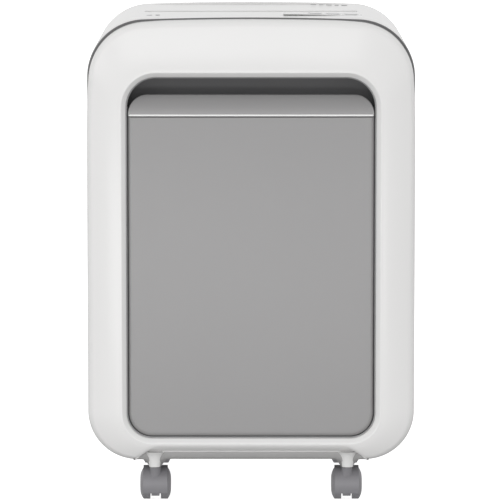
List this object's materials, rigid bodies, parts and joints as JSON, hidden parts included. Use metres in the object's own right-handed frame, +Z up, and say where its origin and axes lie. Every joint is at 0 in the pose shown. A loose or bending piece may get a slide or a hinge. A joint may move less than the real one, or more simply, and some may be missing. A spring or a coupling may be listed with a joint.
{
  "type": "paper shredder",
  "caption": "Free-standing office paper shredder: white casing on twin-wheel casters, slide-out grey bin, slotted lid with keys, meshing toothed cutters and gear train.",
  "frame": {"origin": "on the floor, under the middle of the casing", "axes": "+Z up, -Y the front, +X to the right seen from the front"},
  "size_m": [0.362, 0.318, 0.5425],
  "materials": {
    "white_shell": "satin, fine grain",
    "dark_liner": "satin",
    "bin_silver": "satin, slightly metallic",
    "bin_grey": "satin",
    "base_grey": "satin",
    "wheel_grey": "satin",
    "steel": "ground",
    "bright_steel": "turned",
    "bronze": "sintered",
    "gear_plastic": "moulded",
    "black_plastic": "satin",
    "key_grey": "satin",
    "overlay_grey": "satin film",
    "light_pipe": "clear polished",
    "board_green": "solder mask",
    "motor_can": "satin"
  },
  "bodies": {
    "cabinet": {"front_fascia": "white_shell", "bin_mouth_liner": "dark_liner", "left_side_panel": "white_shell", "right_side_panel": "white_shell", "rear_panel": "white_shell", "rear_screws": "steel", "cord_gland": "black_plastic", "rocker_switch_frame": "black_plastic", "base_tray": "base_grey", "bin_rails": "bin_grey", "top_cover": "white_shell", "control_overlay": "overlay_grey", "control_board": "board_green", "status_light_pipes": "light_pipe", "throat_guide": "dark_liner", "head_deck": "base_grey", "gear_side_plate": "steel", "bearing_side_plate": "steel", "tie_rods": "bright_steel", "cutter_bushes": "bronze", "stripper_combs": "black_plastic", "idler_axles": "bright_steel", "gear_cover": "base_grey", "motor_body": "motor_can", "power_board": "board_green", "interlock_switch": "black_plastic"},
    "bin": {"bin_tub": "bin_grey", "bin_front_panel": "bin_silver", "bin_grip_trim": "bin_silver"},
    "power_key": {"power_key": "key_grey"},
    "reverse_key": {"reverse_key": "key_grey"},
    "forward_key": {"forward_key": "key_grey"},
    "rocker": {"rocker_switch": "black_plastic"},
    "plunger": {"interlock_plunger": "key_grey"},
    "front_cutter": {"front_cutter_shaft": "bright_steel", "front_cutter_discs": "steel", "front_sync_gear": "steel"},
    "rear_cutter": {"rear_cutter_shaft": "bright_steel", "rear_cutter_discs": "steel", "rear_sync_gear": "steel", "drive_gear": "steel"},
    "second_idler": {"second_idler_gear": "gear_plastic"},
    "first_idler": {"first_idler_gear": "gear_plastic"},
    "rotor": {"motor_shaft": "bright_steel", "motor_fan": "black_plastic"},
    "front_left_caster": {"front_left_caster_hood": "wheel_grey"},
    "front_left_left_wheel": {"front_left_caster_left_wheel": "wheel_grey"},
    "front_left_right_wheel": {"front_left_caster_right_wheel": "wheel_grey"},
    "front_right_caster": {"front_right_caster_hood": "wheel_grey"},
    "front_right_left_wheel": {"front_right_caster_left_wheel": "wheel_grey"},
    "front_right_right_wheel": {"front_right_caster_right_wheel": "wheel_grey"},
    "rear_left_caster": {"rear_left_caster_hood": "wheel_grey"},
    "rear_left_left_wheel": {"rear_left_caster_left_wheel": "wheel_grey"},
    "rear_left_right_wheel": {"rear_left_caster_right_wheel": "wheel_grey"},
    "rear_right_caster": {"rear_right_caster_hood": "wheel_grey"},
    "rear_right_left_wheel": {"rear_right_caster_left_wheel": "wheel_grey"},
    "rear_right_right_wheel": {"rear_right_caster_right_wheel": "wheel_grey"}
  },
  "joints": [
    {"name": "bin_slide", "type": "slide", "parent": "cabinet", "child": "bin", "axis": [0, -1, 0], "range_m": [0, 0.27]},
    {"name": "power_press", "type": "slide", "parent": "cabinet", "child": "power_key", "axis": [0, 0, -1], "range_m": [0, 0.0008], "stiffness_N_per_m": 900, "springref_m": -0.0006},
    {"name": "reverse_press", "type": "slide", "parent": "cabinet", "child": "reverse_key", "axis": [0, 0, -1], "range_m": [0, 0.0008], "stiffness_N_per_m": 900, "springref_m": -0.0006},
    {"name": "forward_press", "type": "slide", "parent": "cabinet", "child": "forward_key", "axis": [0, 0, -1], "range_m": [0, 0.0008], "stiffness_N_per_m": 900, "springref_m": -0.0006},
    {"name": "rocker_tilt", "type": "hinge", "parent": "cabinet", "child": "rocker", "pos_m": [-0.12, 0.1535, 0.108], "axis": [1, 0, 0], "range_deg": [-20, 0]},
    {"name": "interlock_slide", "type": "slide", "parent": "cabinet", "child": "plunger", "axis": [0, -1, 0], "range_m": [0, 0.003]},
    {"name": "rear_cutter_spin", "type": "hinge", "parent": "cabinet", "child": "rear_cutter", "pos_m": [0, 0.017, 0.4825], "axis": [1, 0, 0], "continuous": true},
    {"name": "front_cutter_spin", "type": "hinge", "parent": "cabinet", "child": "front_cutter", "pos_m": [0, -0.017, 0.4825], "axis": [1, 0, 0], "continuous": true},
    {"name": "second_idler_spin", "type": "hinge", "parent": "cabinet", "child": "second_idler", "pos_m": [0, 0.05562, 0.48793], "axis": [1, 0, 0], "continuous": true},
    {"name": "first_idler_spin", "type": "hinge", "parent": "cabinet", "child": "first_idler", "pos_m": [0, 0.08701, 0.47952], "axis": [1, 0, 0], "continuous": true},
    {"name": "rotor_spin", "type": "hinge", "parent": "cabinet", "child": "rotor", "pos_m": [0, 0.10621, 0.49393], "axis": [1, 0, 0], "continuous": true},
    {"name": "front_left_swivel", "type": "hinge", "parent": "cabinet", "child": "front_left_caster", "pos_m": [-0.107, -0.114, 0.036], "axis": [0, 0, 1], "continuous": true},
    {"name": "front_left_left_roll", "type": "hinge", "parent": "front_left_caster", "child": "front_left_left_wheel", "pos_m": [-0.107, -0.102, 0.0177], "axis": [1, 0, 0], "continuous": true},
    {"name": "front_left_right_roll", "type": "hinge", "parent": "front_left_caster", "child": "front_left_right_wheel", "pos_m": [-0.107, -0.102, 0.0177], "axis": [1, 0, 0], "continuous": true},
    {"name": "front_right_swivel", "type": "hinge", "parent": "cabinet", "child": "front_right_caster", "pos_m": [0.107, -0.114, 0.036], "axis": [0, 0, 1], "continuous": true},
    {"name": "front_right_left_roll", "type": "hinge", "parent": "front_right_caster", "child": "front_right_left_wheel", "pos_m": [0.107, -0.102, 0.0177], "axis": [1, 0, 0], "continuous": true},
    {"name": "front_right_right_roll", "type": "hinge", "parent": "front_right_caster", "child": "front_right_right_wheel", "pos_m": [0.107, -0.102, 0.0177], "axis": [1, 0, 0], "continuous": true},
    {"name": "rear_left_swivel", "type": "hinge", "parent": "cabinet", "child": "rear_left_caster", "pos_m": [-0.111, 0.114, 0.036], "axis": [0, 0, 1], "continuous": true},
    {"name": "rear_left_left_roll", "type": "hinge", "parent": "rear_left_caster", "child": "rear_left_left_wheel", "pos_m": [-0.111, 0.126, 0.0177], "axis": [1, 0, 0], "continuous": true},
    {"name": "rear_left_right_roll", "type": "hinge", "parent": "rear_left_caster", "child": "rear_left_right_wheel", "pos_m": [-0.111, 0.126, 0.0177], "axis": [1, 0, 0], "continuous": true},
    {"name": "rear_right_swivel", "type": "hinge", "parent": "cabinet", "child": "rear_right_caster", "pos_m": [0.111, 0.114, 0.036], "axis": [0, 0, 1], "continuous": true},
    {"name": "rear_right_left_roll", "type": "hinge", "parent": "rear_right_caster", "child": "rear_right_left_wheel", "pos_m": [0.111, 0.126, 0.0177], "axis": [1, 0, 0], "continuous": true},
    {"name": "rear_right_right_roll", "type": "hinge", "parent": "rear_right_caster", "child": "rear_right_right_wheel", "pos_m": [0.111, 0.126, 0.0177], "axis": [1, 0, 0], "continuous": true}
  ],
  "couplings": [
    {"joint": "front_cutter_spin", "follows": "rear_cutter_spin", "ratio": -1},
    {"joint": "second_idler_spin", "follows": "rear_cutter_spin", "ratio": -3.3333},
    {"joint": "first_idler_spin", "follows": "rear_cutter_spin", "ratio": 11.111},
    {"joint": "rotor_spin", "follows": "rear_cutter_spin", "ratio": -55.556},
    {"joint": "interlock_slide", "follows": "bin_slide", "ratio": 0.011111}
  ]
}
